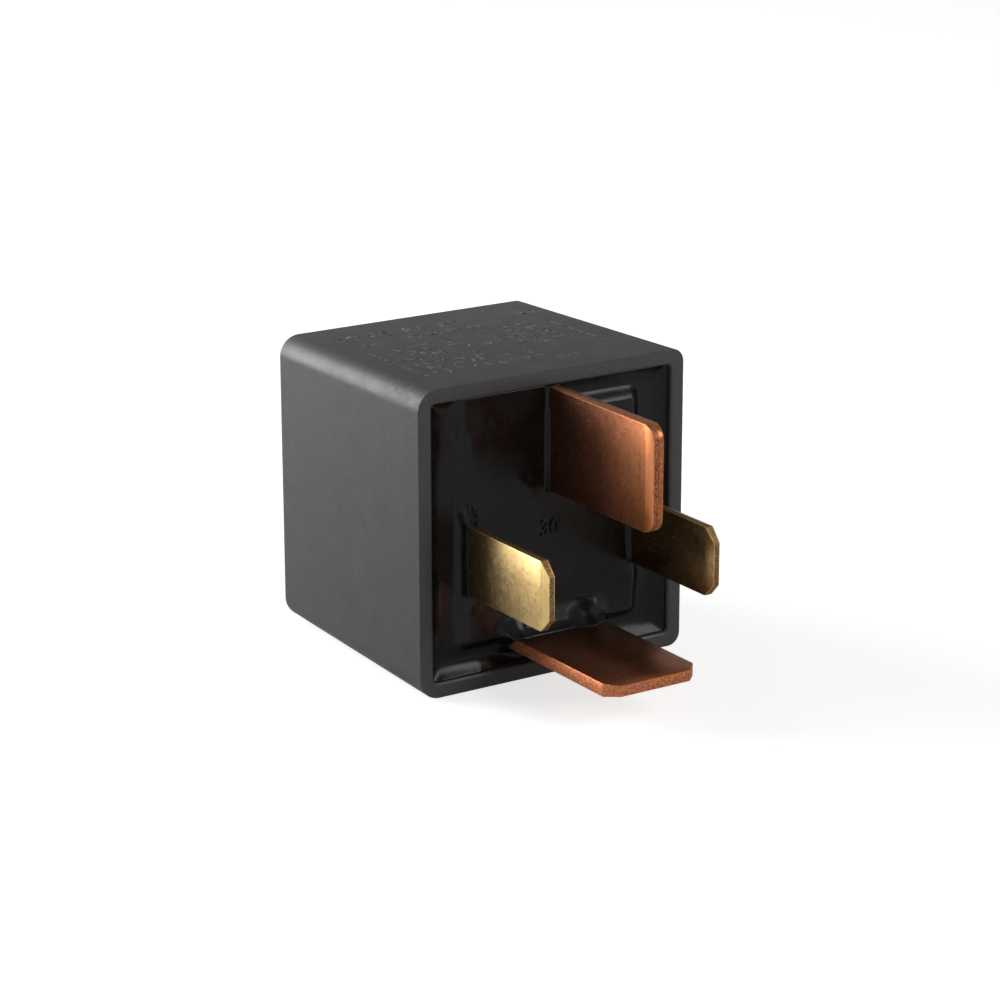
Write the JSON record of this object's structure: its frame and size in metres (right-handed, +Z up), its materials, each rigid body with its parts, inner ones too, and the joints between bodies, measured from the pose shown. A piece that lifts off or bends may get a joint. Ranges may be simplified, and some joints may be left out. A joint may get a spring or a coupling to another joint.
{
  "type": "automotive relay",
  "caption": "Square plug-in relay in a black cover, lying on its side, with wide copper load blades, narrow brass coil blades and a hinged armature inside.",
  "frame": {"origin": "under the middle of the whole part, on the surface that it rests on", "axes": "+Z up, +Y from the terminals to the cover's closed end, +X to the right when the terminals face the viewer"},
  "size_m": [0.028, 0.0412, 0.0282],
  "materials": {
    "case_plastic": "fine matt, laser marked on top",
    "base_plastic": "smooth moulded",
    "potting_compound": "glossy cast resin",
    "copper": "rolled and punched copper, lightly tarnished",
    "brass": "rolled and punched brass, lightly tarnished",
    "magnet_iron": "zinc plated soft iron",
    "bobbin_plastic": "natural nylon",
    "enamelled_wire": "enamelled copper wire",
    "resistor_ceramic": "lacquered",
    "tinned_wire": "tinned",
    "contact_silver": "silver alloy",
    "spring_bronze": "rolled bronze strip"
  },
  "bodies": {
    "housing": {"cover": "case_plastic", "base": "base_plastic", "potting": "potting_compound", "terminal_30": "copper", "terminal_87": "copper", "terminal_85": "brass", "terminal_86": "brass", "yoke": "magnet_iron", "core": "magnet_iron", "bobbin": "bobbin_plastic", "coil_winding": "enamelled_wire", "coil_lead_start": "enamelled_wire", "coil_lead_end": "enamelled_wire", "resistor": "resistor_ceramic", "resistor_leads": "tinned_wire", "fixed_contact": "contact_silver", "yoke_rivets": "magnet_iron", "stop_bracket": "brass"},
    "armature_group": {"armature": "magnet_iron", "contact_spring": "spring_bronze", "moving_contact": "contact_silver", "armature_rivets": "magnet_iron"}
  },
  "joints": [
    {"name": "armature_hinge", "type": "hinge", "parent": "housing", "child": "armature_group", "pos_m": [0, 0.01499, 0.02525], "axis": [-1, 0, 0], "range_deg": [0, 2.8], "stiffness_Nm_per_rad": 0.16, "springref_deg": -2.06, "deforming": ["contact_spring"]}
  ]
}
